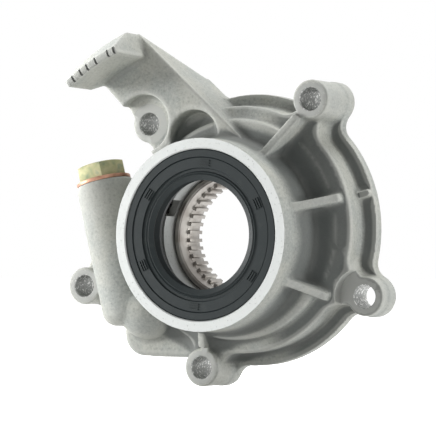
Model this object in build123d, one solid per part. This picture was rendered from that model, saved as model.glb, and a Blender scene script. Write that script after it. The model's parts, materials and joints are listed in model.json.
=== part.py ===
from build123d import *
import os
from math import acos, asin, atan2, cos, degrees, hypot, pi, radians, sin, tan

# Crank-driven internal-gear oil pump, in millimetres.
# The crank axis is the Y axis and the mounting face is the plane y = 0.
# The pump's front points towards -Y, +X is to the right seen from the front and +Z is up.
# A "height" is a distance forward from the mounting face. An angle turns from +X towards +Z.

# ---- gear set
MODULE = 2.5
DRIVE_TEETH = 24
DRIVEN_TEETH = 28
PRESSURE_ANGLE = radians(28)
ADDENDUM = 2.1
ROOT_CLEARANCE = 0.5
BACKLASH = 0.25
GEAR_WIDTH = 10.0
OFFSET_ANGLE = 29.8             # direction of the ring gear's centre from the crank axis
DRIVEN_WALL = 6.4               # ring gear metal outside its tooth roots
DRIVEN_FIT = 0.08               # running clearance of the ring gear in its pocket
AXIAL_GAP = 0.05                # end float of both gears, each side
TIP_GAP = 0.15                  # tooth tips to crescent
CRESCENT_HALF_SPAN = 66.0

# ---- drive gear hub and crank spline
HUB_RADIUS = 25.8
HUB_FIT = 0.08
HUB_FRONT_REACH = 3.05          # hub ahead of the gear pocket's floor
HUB_REAR_REACH = 3.2            # hub behind the teeth, inside the cover
COUNTERBORE_RADIUS = 23.2
COUNTERBORE_DEPTH = 6.3
SPLINE_TEETH = 42
SPLINE_TIP_RADIUS = 21.7
SPLINE_ROOT_RADIUS = 23.0
SPLINE_TOOTH_SHARE = 0.46
HUB_CHAMFER = 0.5

# ---- rear cover
COVER_RECESS = 0.4
COVER_THICKNESS = 3.5
COVER_MARGIN = 3.4              # cover edge outside the gear pocket
COVER_GAP = 0.1
COVER_HOLE_GAP = 0.5            # cover hole around the hub
EAR_RADIUS = 4.3
SCREW_INSET = 4.0               # screw circle outside the gear pocket
SCREW_RADIUS = 2.0
SCREW_HEAD_RADIUS = 3.7
SCREW_REACH = 8.0               # thread engagement in the body
SCREW_SOCKET = 2.5              # hexagon across flats
SCREW_SOCKET_DEPTH = 1.6
SCREW_ANGLES = (61.0, 127.0, 188.0, 248.0, 342.0)

# ---- body casting
NOSE_HEIGHT = 42.0
NOSE_RADIUS = 38.25
NOSE_DRAFT = 1.6                # growth of the nose from its front to the step face
SEAL_BORE_RADIUS = 34.0
SEAL_WIDTH = 10.0
SEAL_SINK = 0.5
SEAL_SHOULDER = 1.0
DRAIN_CHAMBER_RADIUS = 30.0
HUB_BORE_TOP = 25.0
FLOOR_WALL = 4.5                # metal between gear pocket and step face
DRUM_WALL = 5.95
DRUM_RIM_DROP = 1.6             # fall of the step face out to the rim
DRUM_RIM_ROUND = 1.6
FLANGE_STEP = 5.5
FLANGE_THICKNESS = 4.6
BLEND = 6.0                     # hollow corners between lugs and flange
PORT_ROOF = 9.0                 # port bulges above the pocket floor
PORT_ROOF_RADIUS = 44.5
PORT_ROOF_ROUND = 2.0
SUCTION_ROOF = (57.0, 208.0)
DISCHARGE_ROOF = (208.0, 325.5)
SUCTION_PORT = (104.0, 186.0)
DISCHARGE_PORT = (224.0, 304.0)
PORT_DEPTH = 4.6
PORT_WALL = 3.0                 # metal between hub bore and ports
DRAIN_SLOT = (146.0, 162.0)
DRAIN_SLOT_RADIUS = 31.0
DRAIN_SLOT_FLOOR = 18.5

# ---- bolt lugs: x, z, height of the bolt seat
BOLT_HOLE_RADIUS = 4.5
LUG_RADIUS = 7.75
LUG_FOOT_EXTRA = 0.6            # flange edge outside each lug boss
LUG_DRAFT = 0.3
LUG_ROUND = 0.8
LUGS = {
    "top_right": (39.9, 53.3, 23.4),
    "top_left": (-35.9, 46.2, 20.0),
    "left": (-67.7, -20.6, 20.0),
    "bottom": (-11.2, -53.4, 20.0),
    "right": (57.8, -24.3, 11.5),
}

# ---- stiffening ribs: start radius and height on the nose, end radius and height, angle
RIB_THICKNESS = 3.2
RIBS = (
    (37.0, 35.8, 52.8, 20.2, 16.0),
    (37.0, 35.6, 51.4, 20.2, -28.5),
)
LUG_RIBS = (
    ("top_right", 54.5, 32.0, 22.8),
    ("bottom", -101.8, 27.0, 19.4),
)
RIM_BAR_ANGLE = 15.0
RIM_BAR_RISE = 3.2

# ---- relief valve
VALVE_X = -53.5                 # valve axis where it passes the crank's level
VALVE_HEIGHT = 18.0
VALVE_LEAN = 14.2               # top of the valve leans away from the crank
TUBE_RADIUS = 11.9
TUBE_TOP = 23.0
TUBE_BOTTOM = -36.8
TUBE_END_ROUND = 6.0
THREAD_RADIUS = 9.0
THREAD_DEPTH = 15.0
PISTON_RADIUS = 7.0
PISTON_FIT = 0.05
PISTON_SEAT = -28.0
PISTON_LENGTH = 18.0
PISTON_WALL = 1.4
PISTON_BASE = 6.0
PISTON_TRAVEL = 8.0
SEAT_HOLE_RADIUS = 5.0
INLET_DEPTH = 4.0
SPRING_WIRE_RADIUS = 0.8
SPRING_TURNS = 7.5
SPRING_SIDE_GAP = 0.5
SPRING_END_GAP = 0.05
PLUG_HEX = 19.0
PLUG_HEX_HEIGHT = 6.4
PLUG_THREAD_LENGTH = 13.0
PLUG_CAVITY_RADIUS = 5.8
PLUG_CAVITY_DEPTH = 12.0
WASHER_RADIUS = 11.4
WASHER_THICKNESS = 1.5
RETURN_DRILL_RADIUS = 2.75
RETURN_DRILL_AT = -20.0
GALLERY_RADIUS = 3.5
GALLERY_BOSS_RADIUS = 6.8
KNOB_X, KNOB_Z = -38.2, -30.0
KNOB_RADIUS = 12.5
KNOB_HEIGHT = 16.5
OUTLET_X, OUTLET_Z = -36.2, -34.2
OUTLET_RADIUS = 5.0
OUTLET_FOOT = ((-42.2, -40.4, 10.0), (-20.0, -42.4, 8.0), (-30.0, -20.0, 10.0))
CHAMBER_HEIGHT = 15.0
VALVE_FOOT_HEIGHT = 11.0
FOOT_STEP = 0.8                 # flange edge outside the walls that stand on it

# ---- timing pointer
ARM_FRONT = 25.0
ARM_THICKNESS = 8.0
ARM_WALL = 4.0
ARM_TIP_DEPTH = 0.8             # arm thickness at the tip, where its back slopes to the front
ARM_SLOPE_END = 64.5            # the wall reaches the mounting face below this level
ARM_CORNERS = ((-46.0, 53.7), (-38.0, 40.0), (-22.0, 24.0), (4.0, 24.0))
ARM_POCKET = (-12.0, 40.0, 11.0)   # x, z and radius of the hollow beside the nose
ARM_POCKET_DEPTH = 6.5
SPOT_MARGIN = 4.2               # spot face outside its lug boss
SCALE_X, SCALE_Z = -6.0, -3.6   # centre of the scale's arc
SCALE_START, SCALE_END = 110.5, 129.0
SCALE_INNER_RADIUS = 82.0
SCALE_OUTER_RADIUS = 92.6
SCALE_EDGE_WIDTH = 2.8
SCALE_FRONT = 47.5
SCALE_SHOULDER = 33.5
SCALE_NOTCH_ANGLES = (111.2, 113.3, 117.7, 120.9, 123.4, 126.4)
SCALE_NOTCH_WIDTH = 0.9
SCALE_CORNER = 8.0              # cut across the block's far rear corner
SCALE_NOTCH_DEPTH = 0.9

# ---- crank oil seal
SEAL_CASE_WALL = 1.0
SEAL_CASE_INNER = 27.0
SEAL_OUTER_RUBBER = 2.4
SEAL_LIP_RADIUS = 22.1
DUST_LIP_RADIUS = 21.6
GARTER_RADIUS = 24.9
GARTER_WIRE_RADIUS = 1.0

# ---- worked out from the sizes above
eccentricity = MODULE * (DRIVEN_TEETH - DRIVE_TEETH) / 2
CX = eccentricity * cos(radians(OFFSET_ANGLE))
CZ = eccentricity * sin(radians(OFFSET_ANGLE))
drive_pitch = MODULE * DRIVE_TEETH / 2
driven_pitch = MODULE * DRIVEN_TEETH / 2
drive_tip = drive_pitch + ADDENDUM
drive_root = drive_pitch - ADDENDUM - ROOT_CLEARANCE
driven_tip = driven_pitch - ADDENDUM
driven_root = driven_pitch + ADDENDUM + ROOT_CLEARANCE
driven_outer = driven_root + DRIVEN_WALL
pocket_radius = driven_outer + DRIVEN_FIT
cover_front = COVER_RECESS + COVER_THICKNESS
pocket_floor = cover_front + GEAR_WIDTH + 2 * AXIAL_GAP
step_height = pocket_floor + FLOOR_WALL
roof_height = pocket_floor + PORT_ROOF
drum_radius = pocket_radius + DRUM_WALL
flange_radius = drum_radius + FLANGE_STEP
hub_bore = HUB_RADIUS + HUB_FIT
seal_front = NOSE_HEIGHT - SEAL_SINK
seal_back = seal_front - SEAL_WIDTH
screw_circle = pocket_radius + SCREW_INSET
mesh_angle = OFFSET_ANGLE + 180
EPS = 0.01


def at(height):
    """Drawing plane at a height, with X to the right and Z up."""
    return Plane.XZ.offset(height)


def rise(sketch, low, high):
    """Solid from a sketch of the front view, between two heights."""
    return extrude(at(low) * sketch, high - low)


def disc(radius, low, high, x=0.0, z=0.0):
    return rise(Pos(x, z) * Circle(radius), low, high)


def polar(radius, angle, x=0.0, z=0.0):
    return (x + radius * cos(radians(angle)), z + radius * sin(radians(angle)))


def turned(outline, x=0.0, z=0.0, start=0.0, arc=360.0, rounds=None):
    """Solid turned about a line parallel to the crank; outline points are (radius, height)."""
    plane = Plane(origin=(x, 0, z), x_dir=(cos(radians(start)), 0, sin(radians(start))),
                  z_dir=(sin(radians(start)), 0, -cos(radians(start))))
    face = plane * rounded(outline, rounds or {})
    return revolve(face, Axis((x, 0, z), (0, -1, 0)), arc)


def rounded(outline, rounds):
    """Polygon face whose corners with the given indexes get the given radii."""
    shape = make_face(Polyline(*outline, close=True))
    for index, radius in rounds.items():
        corner = shape.vertices().sort_by_distance((*outline[index], 0))[0]
        shape = fillet(corner, radius)
    return shape


def sector(inner, outer, start, end, x=0.0, z=0.0):
    """Part of a ring between two angles, as a sketch."""
    ring = Pos(x, z) * (Circle(outer) - Circle(inner)) if inner else Pos(x, z) * Circle(outer)
    reach = 3 * outer
    middle = (start + end) / 2
    steps = [start, (start + middle) / 2, middle, (middle + end) / 2, end]
    wedge = make_face(Polyline((x, z), *[polar(reach, a, x, z) for a in steps], close=True))
    return ring & wedge


def bar(start, end, width):
    """Straight bar with round ends between two points of the front view."""
    return SlotCenterToCenter(hypot(end[0] - start[0], end[1] - start[1]), width).moved(
        Location(((start[0] + end[0]) / 2, (start[1] + end[1]) / 2, 0), (0, 0, 1),
                 degrees(atan2(end[1] - start[1], end[0] - start[0]))))


def gear_face(teeth, root, tip, tooth_width, centre_angle):
    """Involute outline: flanks, tip and root arcs of every tooth in one closed face."""
    pitch = MODULE * teeth / 2
    base = pitch * cos(PRESSURE_ANGLE)

    def half_angle(radius):
        roll = acos(min(1.0, base / radius))
        return tooth_width / (2 * pitch) + (tan(PRESSURE_ANGLE) - PRESSURE_ANGLE) - (tan(roll) - roll)

    def point(radius, angle):
        return (radius * cos(angle), radius * sin(angle))

    edges = []
    step = 2 * pi / teeth
    middle = (root + tip) / 2
    for number in range(teeth):
        axis = radians(centre_angle) + number * step
        low, mid, high = half_angle(root), half_angle(middle), half_angle(tip)
        edges += [
            ThreePointArc(point(root, axis - low), point(middle, axis - mid), point(tip, axis - high)),
            ThreePointArc(point(tip, axis - high), point(tip, axis), point(tip, axis + high)),
            ThreePointArc(point(tip, axis + high), point(middle, axis + mid), point(root, axis + low)),
            ThreePointArc(point(root, axis + low), point(root, axis + step / 2),
                          point(root, axis + step - low)),
        ]
    return make_face(edges)


# ---- relief valve frame: x across the valve, y along it towards the plug
lean = radians(VALVE_LEAN)
valve_plane = Plane(origin=(VALVE_X, -VALVE_HEIGHT, 0), x_dir=(cos(lean), 0, sin(lean)),
                    z_dir=(0, -1, 0))
valve_axis = Axis((VALVE_X, -VALVE_HEIGHT, 0), (-sin(lean), 0, cos(lean)))


def valve_point(along, across=0.0):
    """Front-view point at a distance along the valve axis."""
    return (VALVE_X - along * sin(lean) + across * cos(lean), along * cos(lean) + across * sin(lean))


def valve_turned(outline, rounds=None):
    """Solid turned about the valve axis; outline points are (radius, distance along)."""
    return revolve(valve_plane * rounded(outline, rounds or {}), valve_axis)


# ---- pump body
def lug_circles(extra, names=LUGS):
    return Sketch() + [Pos(LUGS[n][0], LUGS[n][1]) * Circle(LUG_RADIUS + extra) for n in names]


def chamber_outline():
    """Foot of the outlet chamber and of the valve tube, left and below the drum."""
    x, z = LUGS["left"][0], LUGS["left"][1]
    outlet = make_hull((Sketch() + [Pos(a, b) * Circle(r) for a, b, r in OUTLET_FOOT]).edges())
    upper = valve_point(8.0)
    lower = valve_point(-30.0)
    web = make_hull((Pos(x, z) * Circle(LUG_RADIUS) + Pos(*upper) * Circle(6)
                     + Pos(*lower) * Circle(8) + Pos(-34, 8) * Circle(6)).edges())
    return outlet, web


def blended(shape, radius):
    """Outline with its hollow corners rounded, as a casting's are."""
    grown = Sketch() + [offset(face, radius) for face in shape.faces()]
    return offset(grown, -radius)


def flange_outline():
    outlet, web = chamber_outline()
    shape = Pos(CX, CZ) * Circle(flange_radius) + lug_circles(LUG_FOOT_EXTRA) + outlet + web + arm_foot()
    return blended(shape, BLEND)


def drum_outline():
    """Drum wall with necks that run out to the lugs beside it."""
    near = [n for n in LUGS if n != "left"]
    shape = Pos(CX, CZ) * Circle(drum_radius) + lug_circles(-1.2, near)
    return blended(shape, BLEND + 2)


def drum():
    wall_top = step_height - DRUM_RIM_DROP
    necks = fillet(rise(drum_outline(), 1, wall_top).faces().sort_by(Axis.Y)[0].outer_wire().edges(),
                   DRUM_RIM_ROUND)
    crown = turned([(0, 0), (drum_radius - DRUM_RIM_ROUND, 0), (drum_radius - DRUM_RIM_ROUND, wall_top),
                    (NOSE_RADIUS + NOSE_DRAFT + CX, step_height), (0, step_height)], CX, CZ)
    right = LUGS["right"]
    seat_cut = disc(LUG_RADIUS + 3, right[2], step_height + 5, right[0], right[1])
    return necks + crown - seat_cut


def port_roof(span, height):
    start, end = span
    outline = [(5, 1), (PORT_ROOF_RADIUS, 1), (PORT_ROOF_RADIUS, height), (5, height)]
    return turned(outline, CX, CZ, start, end - start, {2: PORT_ROOF_ROUND})


def nose():
    foot = NOSE_RADIUS + NOSE_DRAFT
    return turned([(0, 1), (foot, 1), (foot, step_height), (NOSE_RADIUS, NOSE_HEIGHT - 6),
                   (NOSE_RADIUS, NOSE_HEIGHT - 0.5), (NOSE_RADIUS - 0.5, NOSE_HEIGHT), (0, NOSE_HEIGHT)])


def rib(start, end, start_height, end_height):
    """Thin wall with round edges whose top falls from the nose to the rim."""
    run = hypot(end[0] - start[0], end[1] - start[1])
    turn = degrees(atan2(end[1] - start[1], end[0] - start[0]))
    plane = Plane(origin=(start[0], 0, start[1]), x_dir=(cos(radians(turn)), 0, sin(radians(turn))),
                  z_dir=(sin(radians(turn)), 0, -cos(radians(turn))))
    side = make_face(Polyline((-2, 2), (run, 2), (run, end_height), (0, start_height),
                              (-2, start_height), close=True))
    width = rise(bar(polar(-4, turn, *start), end, RIB_THICKNESS), 0, NOSE_HEIGHT)
    return extrude(plane * side, RIB_THICKNESS / 2, both=True) & width


def ribs():
    solids = [rib(polar(r0, a), polar(r1, a), h0, h1) for r0, h0, r1, h1, a in RIBS]
    for name, angle, h0, h1 in LUG_RIBS:
        solids.append(rib(polar(NOSE_RADIUS - 1, angle), LUGS[name][:2], h0, h1))
    bar_start = polar(drum_radius - 1, RIM_BAR_ANGLE, CX, CZ)
    bar_end = polar(flange_radius - 1.2, RIM_BAR_ANGLE, CX, CZ)
    solids.append(rise(bar(bar_start, bar_end, 2.6), 1, FLANGE_THICKNESS + RIM_BAR_RISE))
    return solids


def lug_bosses():
    bosses = []
    for x, z, seat in LUGS.values():
        bosses.append(turned([(0, 0), (LUG_RADIUS + LUG_DRAFT, 0), (LUG_RADIUS, seat), (0, seat)],
                             x, z, rounds={2: LUG_ROUND}))
    return bosses


def valve_housing():
    tube = valve_turned([(0, TUBE_BOTTOM), (TUBE_RADIUS, TUBE_BOTTOM), (TUBE_RADIUS, TUBE_TOP),
                         (0, TUBE_TOP)], {1: TUBE_END_ROUND, 2: 0.8})
    outlet, web = chamber_outline()
    foot = rise(offset(web, -FOOT_STEP), 1, VALVE_FOOT_HEIGHT)
    chamber_solid = rise(offset(outlet, -FOOT_STEP), 1, CHAMBER_HEIGHT)
    chamber = fillet(chamber_solid.faces().sort_by(Axis.Y)[0].outer_wire().edges(), 2.5)
    link = rise(make_hull((Pos(*valve_point(-24)) * Circle(9) + Pos(*valve_point(4)) * Circle(7)
                           + Pos(-32, -14) * Circle(8)).edges()), 1, 19.0)
    return [tube, foot, chamber, link, gallery_boss()]


def gallery_boss():
    """Boss over the outlet gallery, from the drum to the knob over the outlet port."""
    start = polar(28, 225, CX, CZ)
    run = hypot(OUTLET_X - start[0], OUTLET_Z - start[1])
    way = ((OUTLET_X - start[0]) / run, (OUTLET_Z - start[1]) / run)
    plane = Plane(origin=(OUTLET_X, -VALVE_HEIGHT, OUTLET_Z), z_dir=(-way[0], 0, -way[1]))
    reach = extrude(plane * Circle(GALLERY_BOSS_RADIUS), run)
    knob = Pos(KNOB_X, -KNOB_HEIGHT, KNOB_Z) * Sphere(KNOB_RADIUS)
    return reach + knob


# ---- pointer arm corners in the front view
arm_root_right = polar(NOSE_RADIUS + 1, 73.0)
arm_tip_right = polar(SCALE_OUTER_RADIUS, SCALE_START - 0.2, SCALE_X, SCALE_Z)
arm_tip_left = polar(SCALE_OUTER_RADIUS - 1.5, SCALE_END - 1.8, SCALE_X, SCALE_Z)


def arm_foot():
    """Where the arm's wall stands on the mounting face."""
    share = (ARM_SLOPE_END - arm_root_right[1]) / (arm_tip_right[1] - arm_root_right[1])
    end = (arm_root_right[0] + share * (arm_tip_right[0] - arm_root_right[0]), ARM_SLOPE_END)
    strip = Polyline(arm_root_right, end, (end[0] - ARM_WALL, end[1] - ARM_WALL),
                     (arm_root_right[0] - 2 * ARM_WALL, arm_root_right[1] - ARM_WALL), close=True)
    return make_face(strip)


def pointer_arm():
    web = make_face(Polyline(arm_root_right, arm_tip_right, arm_tip_left, *ARM_CORNERS, close=True))
    plate = rise(web, ARM_FRONT - ARM_THICKNESS, ARM_FRONT)
    run = hypot(arm_tip_right[0] - arm_root_right[0], arm_tip_right[1] - arm_root_right[1])
    turn = atan2(arm_tip_right[1] - arm_root_right[1], arm_tip_right[0] - arm_root_right[0])
    plane = Plane(origin=(arm_root_right[0], 0, arm_root_right[1]), x_dir=(cos(turn), 0, sin(turn)),
                  z_dir=(sin(turn), 0, -cos(turn)))
    side = make_face(Polyline((-6, 0), (run, 0), (run, ARM_FRONT), (-6, ARM_FRONT), close=True))
    wall = extrude(plane * side, -ARM_WALL)
    return plate + wall


def scale_block():
    """Overhanging block whose notched front edge lies along the rim of the crank pulley."""
    edge = SCALE_INNER_RADIUS + SCALE_EDGE_WIDTH
    outline = [(SCALE_INNER_RADIUS, ARM_FRONT - ARM_THICKNESS), (SCALE_OUTER_RADIUS, ARM_FRONT - ARM_THICKNESS),
               (SCALE_OUTER_RADIUS, SCALE_SHOULDER), (edge, SCALE_FRONT), (SCALE_INNER_RADIUS, SCALE_FRONT)]
    block = turned(outline, SCALE_X, SCALE_Z, SCALE_START, SCALE_END - SCALE_START, {3: 0.5, 2: 0.8})
    far_x, far_z = polar(SCALE_OUTER_RADIUS, SCALE_END, SCALE_X, SCALE_Z)
    corner = Plane(origin=(far_x, 3 - SCALE_SHOULDER, far_z),
                   x_dir=(-sin(radians(SCALE_END)), 0, cos(radians(SCALE_END))),
                   z_dir=(cos(radians(SCALE_END)), 0, sin(radians(SCALE_END))))
    reach = SCALE_SHOULDER - 3 - ARM_FRONT + ARM_THICKNESS
    wedge = make_face(Polyline((0, 0), (-SCALE_CORNER, -reach), (2, -reach), (2, 0), close=True))
    block -= extrude(corner * wedge, 2 * (SCALE_OUTER_RADIUS - SCALE_INNER_RADIUS), both=True)
    for angle in SCALE_NOTCH_ANGLES:
        notch = Pos(SCALE_INNER_RADIUS + SCALE_EDGE_WIDTH / 2, 0) * Rectangle(3 * SCALE_EDGE_WIDTH,
                                                                             SCALE_NOTCH_WIDTH)
        across = Pos(SCALE_X, SCALE_Z) * Rot(0, 0, angle) * notch
        block -= rise(across, SCALE_FRONT - SCALE_NOTCH_DEPTH, SCALE_FRONT + 1)
    return block


def arm_cuts():
    """Space behind the arm's sloping back, the spot face of its lug and the pocket at its root."""
    thin = ARM_FRONT - ARM_TIP_DEPTH
    plane = Plane(origin=(0, 0, 0), x_dir=(0, -1, 0), z_dir=(-1, 0, 0))
    behind = make_face(Polyline((-5, ARM_SLOPE_END), (0, ARM_SLOPE_END), (thin, arm_tip_right[1]),
                                (thin, SCALE_OUTER_RADIUS), (-5, SCALE_OUTER_RADIUS), close=True))
    slope = extrude(plane * behind, SCALE_OUTER_RADIUS, both=True)
    x, z, seat = LUGS["top_left"]
    spot = disc(LUG_RADIUS + SPOT_MARGIN, seat, ARM_FRONT + 1, x, z)
    pocket_x, pocket_z, pocket_hollow = ARM_POCKET
    pocket = disc(pocket_hollow, ARM_FRONT - ARM_POCKET_DEPTH, ARM_FRONT + 1, pocket_x, pocket_z)
    return [slope, spot, pocket - disc(NOSE_RADIUS + NOSE_DRAFT, 0, NOSE_HEIGHT)]


def body_cuts():
    pocket_top = pocket_floor
    cuts = [
        disc(pocket_radius, -1, pocket_top, CX, CZ),
        disc(hub_bore, -1, HUB_BORE_TOP),
        disc(DRAIN_CHAMBER_RADIUS, HUB_BORE_TOP, seal_back),
        disc(SEAL_BORE_RADIUS, seal_back - SEAL_SHOULDER, NOSE_HEIGHT + 1),
        rise(sector(hub_bore - 2, DRAIN_SLOT_RADIUS, *DRAIN_SLOT), DRAIN_SLOT_FLOOR, HUB_BORE_TOP + EPS),
        rise(cover_sketch(COVER_GAP), -1, cover_front),
        port_cut(SUCTION_PORT),
        port_cut(DISCHARGE_PORT),
        valve_turned([(0, PISTON_SEAT), (PISTON_RADIUS, PISTON_SEAT), (PISTON_RADIUS, TUBE_TOP + 1),
                      (0, TUBE_TOP + 1)]),
        valve_turned([(0, TUBE_TOP - THREAD_DEPTH), (THREAD_RADIUS, TUBE_TOP - THREAD_DEPTH),
                      (THREAD_RADIUS, TUBE_TOP + 1), (0, TUBE_TOP + 1)]),
        valve_turned([(0, PISTON_SEAT - INLET_DEPTH), (SEAT_HOLE_RADIUS, PISTON_SEAT - INLET_DEPTH),
                      (SEAT_HOLE_RADIUS, PISTON_SEAT + 1), (0, PISTON_SEAT + 1)]),
        disc(OUTLET_RADIUS, -1, VALVE_HEIGHT, OUTLET_X, OUTLET_Z),
        drilling((OUTLET_X, OUTLET_Z), polar(34, 228, CX, CZ), GALLERY_RADIUS),
        drilling((OUTLET_X, OUTLET_Z), valve_point(PISTON_SEAT - INLET_DEPTH / 2), GALLERY_RADIUS - 0.6),
        drilling(valve_point(RETURN_DRILL_AT), polar(34, SUCTION_PORT[1] - 4, CX, CZ), RETURN_DRILL_RADIUS),
    ]
    for x, z, seat in LUGS.values():
        cuts.append(disc(BOLT_HOLE_RADIUS, -1, seat + 1, x, z))
        cuts.append(disc(LUG_RADIUS + 0.6, seat, ARM_FRONT + 8, x, z))
    for x, z in screw_places():
        cuts.append(disc(SCREW_RADIUS, 0, cover_front + SCREW_REACH + 1, x, z))
    return cuts


def port_cut(span):
    """Kidney port sunk into the floor of the gear pocket."""
    inner = disc(hub_bore + PORT_WALL, 0, NOSE_HEIGHT)
    kidney = sector(0, driven_root, *span, CX, CZ)
    return rise(kidney, pocket_floor - EPS, pocket_floor + PORT_DEPTH) - inner


def drilling(start, end, radius):
    """Passage at the valve's height between two points of the front view."""
    run = hypot(end[0] - start[0], end[1] - start[1])
    plane = Plane(origin=(start[0], -VALVE_HEIGHT, start[1]),
                  z_dir=((end[0] - start[0]) / run, 0, (end[1] - start[1]) / run))
    return extrude(plane * Circle(radius), run)


def crescent():
    inside = Circle(drive_tip + TIP_GAP)
    outside = Pos(CX, CZ) * Circle(driven_tip - TIP_GAP)
    wedge = sector(0, driven_pitch + 10, OFFSET_ANGLE - CRESCENT_HALF_SPAN,
                   OFFSET_ANGLE + CRESCENT_HALF_SPAN)
    return rise((outside - inside) & wedge, cover_front, pocket_floor + 1)


def pump_body():
    body = rise(flange_outline(), 0, FLANGE_THICKNESS) + drum()
    body += port_roof(SUCTION_ROOF, roof_height - 1)
    body += port_roof(DISCHARGE_ROOF, roof_height)
    for solid in [nose(), *lug_bosses(), *valve_housing(), *ribs()]:
        body += solid
    arm = pointer_arm() + scale_block()
    for cut in arm_cuts():
        arm -= cut
    body += arm
    for cut in body_cuts():
        body -= cut
    return body + crescent()


# ---- rear cover and its screws
def screw_places():
    return [polar(screw_circle, angle, CX, CZ) for angle in SCREW_ANGLES]


def cover_sketch(gap):
    shape = Pos(CX, CZ) * Circle(pocket_radius + COVER_MARGIN + gap)
    return shape + [Pos(x, z) * Circle(EAR_RADIUS + gap) for x, z in screw_places()]


def countersunk_outline():
    cone = SCREW_HEAD_RADIUS - SCREW_RADIUS
    return [(0, COVER_RECESS), (SCREW_HEAD_RADIUS, COVER_RECESS),
            (SCREW_HEAD_RADIUS, COVER_RECESS + 0.3), (SCREW_RADIUS, COVER_RECESS + 0.3 + cone)]


def rear_cover():
    cover = rise(cover_sketch(0), COVER_RECESS, cover_front)
    cover -= disc(HUB_RADIUS + COVER_HOLE_GAP, 0, cover_front + 1)
    window = rise(sector(0, driven_root - 0.5, *SUCTION_PORT, CX, CZ), 0, cover_front + 1)
    cover -= window - disc(hub_bore + PORT_WALL, -1, NOSE_HEIGHT)
    for x, z in screw_places():
        seat = countersunk_outline() + [(SCREW_RADIUS, cover_front + 1), (0, cover_front + 1)]
        cover -= turned(seat, x, z)
    return cover


def cover_screws():
    tip = cover_front + SCREW_REACH
    screws = Part()
    for x, z in screw_places():
        outline = countersunk_outline() + [(SCREW_RADIUS, tip - 0.5), (SCREW_RADIUS - 0.5, tip), (0, tip)]
        socket = RegularPolygon(SCREW_SOCKET / 2, 6, major_radius=False)
        screws += turned(outline, x, z) - rise(Pos(x, z) * socket, 0, COVER_RECESS + SCREW_SOCKET_DEPTH)
    return screws


# ---- gears
def drive_gear():
    rear = cover_front + AXIAL_GAP
    front = rear + GEAR_WIDTH
    hub_front = pocket_floor + HUB_FRONT_REACH
    hub_rear = rear - HUB_REAR_REACH
    thickness = pi * MODULE / 2 - BACKLASH / 2
    gear = rise(gear_face(DRIVE_TEETH, drive_root, drive_tip, thickness, mesh_angle), rear, front)
    gear += turned([(SPLINE_TIP_RADIUS - 1, hub_rear), (HUB_RADIUS - HUB_CHAMFER, hub_rear),
                    (HUB_RADIUS, hub_rear + HUB_CHAMFER), (HUB_RADIUS, hub_front - HUB_CHAMFER),
                    (HUB_RADIUS - HUB_CHAMFER, hub_front), (SPLINE_TIP_RADIUS - 1, hub_front)])
    spline_end = hub_front - COUNTERBORE_DEPTH
    bore = Circle(SPLINE_TIP_RADIUS)
    gap_angle = 360 / SPLINE_TEETH * (1 - SPLINE_TOOTH_SHARE)
    gap_width = 2 * SPLINE_ROOT_RADIUS * sin(radians(gap_angle / 2))
    gap = Rectangle(SPLINE_ROOT_RADIUS - SPLINE_TIP_RADIUS + 2, gap_width, align=(Align.MAX, Align.CENTER))
    bore += PolarLocations(SPLINE_ROOT_RADIUS, SPLINE_TEETH) * gap
    gear -= rise(bore, hub_rear - 1, spline_end + EPS)
    lead_in = COUNTERBORE_RADIUS + HUB_CHAMFER
    gear -= turned([(0, spline_end), (COUNTERBORE_RADIUS, spline_end),
                    (COUNTERBORE_RADIUS, hub_front - HUB_CHAMFER), (lead_in, hub_front),
                    (lead_in, hub_front + 1), (0, hub_front + 1)])
    return gear


def driven_gear():
    rear = cover_front + AXIAL_GAP
    space = pi * MODULE / 2 + BACKLASH / 2
    hollow = gear_face(DRIVEN_TEETH, driven_tip, driven_root, space, mesh_angle)
    return rise(Pos(CX, CZ) * (Circle(driven_outer) - hollow), rear, rear + GEAR_WIDTH)


# ---- relief valve pieces
spring_radius = PISTON_RADIUS - PISTON_FIT - PISTON_WALL - SPRING_SIDE_GAP - SPRING_WIRE_RADIUS
plug_bottom = TUBE_TOP - PLUG_THREAD_LENGTH
spring_low = PISTON_SEAT + PISTON_BASE
spring_high = plug_bottom + PLUG_CAVITY_DEPTH


def relief_piston():
    outer = PISTON_RADIUS - PISTON_FIT
    inner = outer - PISTON_WALL
    top = PISTON_SEAT + PISTON_LENGTH
    return valve_turned([(0, PISTON_SEAT), (outer - 0.6, PISTON_SEAT), (outer, PISTON_SEAT + 0.6),
                         (outer, top), (inner, top), (inner, spring_low), (0, spring_low)])


def relief_spring():
    low = spring_low + SPRING_END_GAP + SPRING_WIRE_RADIUS
    high = spring_high - SPRING_END_GAP - SPRING_WIRE_RADIUS
    pitch = (high - low) / SPRING_TURNS
    start = valve_point(low)
    path = Location(Plane(origin=(start[0], -VALVE_HEIGHT, start[1]), x_dir=valve_plane.x_dir,
                          z_dir=valve_axis.direction)) * Helix(pitch, high - low, spring_radius)
    wire = Plane(origin=path @ 0, z_dir=path % 0) * Circle(SPRING_WIRE_RADIUS)
    return sweep(wire, path, is_frenet=True)


def plug_gasket():
    top = TUBE_TOP + WASHER_THICKNESS
    return valve_turned([(THREAD_RADIUS, TUBE_TOP), (WASHER_RADIUS, TUBE_TOP), (WASHER_RADIUS, top),
                         (THREAD_RADIUS, top)])


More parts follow.
